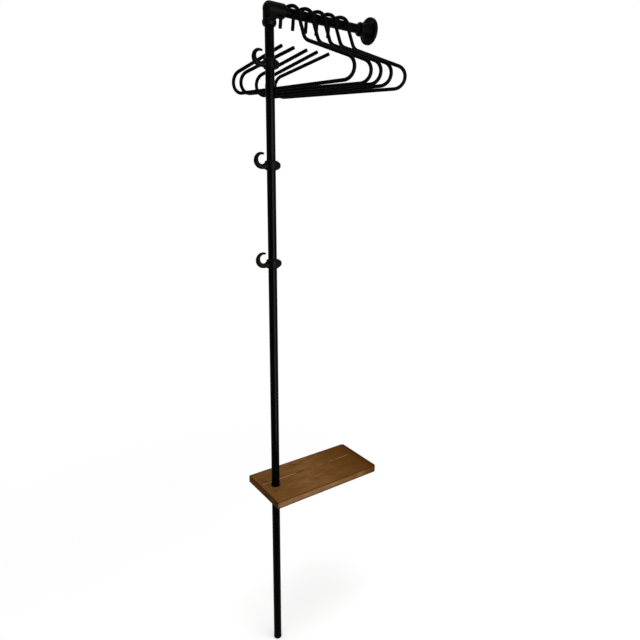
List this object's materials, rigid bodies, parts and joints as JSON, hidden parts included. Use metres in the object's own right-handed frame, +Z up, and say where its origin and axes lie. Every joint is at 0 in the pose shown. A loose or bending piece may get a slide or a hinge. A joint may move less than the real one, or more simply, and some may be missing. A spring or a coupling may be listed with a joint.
{
  "type": "wall coat rack",
  "caption": "Slim wall coat rack: a black pipe pole and short rail to a wall flange, with clamped ring hooks, a wooden shelf board and bent-rod hangers.",
  "frame": {"origin": "centre of the pole's foot on the floor", "axes": "+Z up the pole, +Y along the rail towards the wall, +X to the right of someone who faces the wall"},
  "size_m": [0.4038, 0.4237, 2.1302],
  "materials": {
    "pipe_black": "satin black paint on steel pipe and sheet",
    "cast_black": "black paint on cast iron, a little rough",
    "rod_black": "satin black paint on bent steel rod",
    "screw_black": "blackened steel",
    "cap_black": "matte black plastic",
    "wood_brown": "brown stained and oiled wood"
  },
  "bodies": {
    "rack": {"pole": "pipe_black", "pole_foot_cap": "cap_black", "elbow": "cast_black", "rail": "pipe_black", "wall_flange": "cast_black", "flange_screw_1": "screw_black", "flange_screw_2": "screw_black", "flange_screw_3": "screw_black", "flange_screw_4": "screw_black", "shelf_board": "wood_brown", "shelf_collar": "cast_black", "shelf_collar_screw": "screw_black", "shelf_bracket": "pipe_black", "bracket_board_screw_1": "screw_black", "bracket_board_screw_2": "screw_black", "bracket_wall_screw_1": "screw_black", "bracket_wall_screw_2": "screw_black"},
    "hook_upper": {"hook_upper": "cast_black", "hook_upper_set_screw": "screw_black"},
    "hook_middle": {"hook_middle": "cast_black", "hook_middle_set_screw": "screw_black"},
    "hook_lower": {"hook_lower": "cast_black", "hook_lower_set_screw": "screw_black"},
    "hanger_1": {"hanger_1": "rod_black"},
    "hanger_2": {"hanger_2": "rod_black"},
    "hanger_3": {"hanger_3": "rod_black"},
    "hanger_4": {"hanger_4": "rod_black"},
    "hanger_5": {"hanger_5": "rod_black"}
  },
  "joints": [
    {"name": "hook_upper_turn", "type": "hinge", "parent": "rack", "child": "hook_upper", "pos_m": [0, 0, 1.9465], "axis": [0, 0, 1], "range_deg": [-90, 90]},
    {"name": "hook_middle_turn", "type": "hinge", "parent": "rack", "child": "hook_middle", "pos_m": [0, 0, 1.6665], "axis": [0, 0, 1], "range_deg": [-180, 180]},
    {"name": "hook_lower_turn", "type": "hinge", "parent": "rack", "child": "hook_lower", "pos_m": [0, 0, 1.3728], "axis": [0, 0, 1], "range_deg": [-180, 180]},
    {"name": "hanger_1_lift", "type": "slide", "parent": "rack", "child": "hanger_1", "axis": [0, 0, 1], "range_m": [0, 0.052]},
    {"name": "hanger_2_lift", "type": "slide", "parent": "rack", "child": "hanger_2", "axis": [0, 0, 1], "range_m": [0, 0.052]},
    {"name": "hanger_3_lift", "type": "slide", "parent": "rack", "child": "hanger_3", "axis": [0, 0, 1], "range_m": [0, 0.052]},
    {"name": "hanger_4_lift", "type": "slide", "parent": "rack", "child": "hanger_4", "axis": [0, 0, 1], "range_m": [0, 0.052]},
    {"name": "hanger_5_lift", "type": "slide", "parent": "rack", "child": "hanger_5", "axis": [0, 0, 1], "range_m": [0, 0.052]}
  ]
}
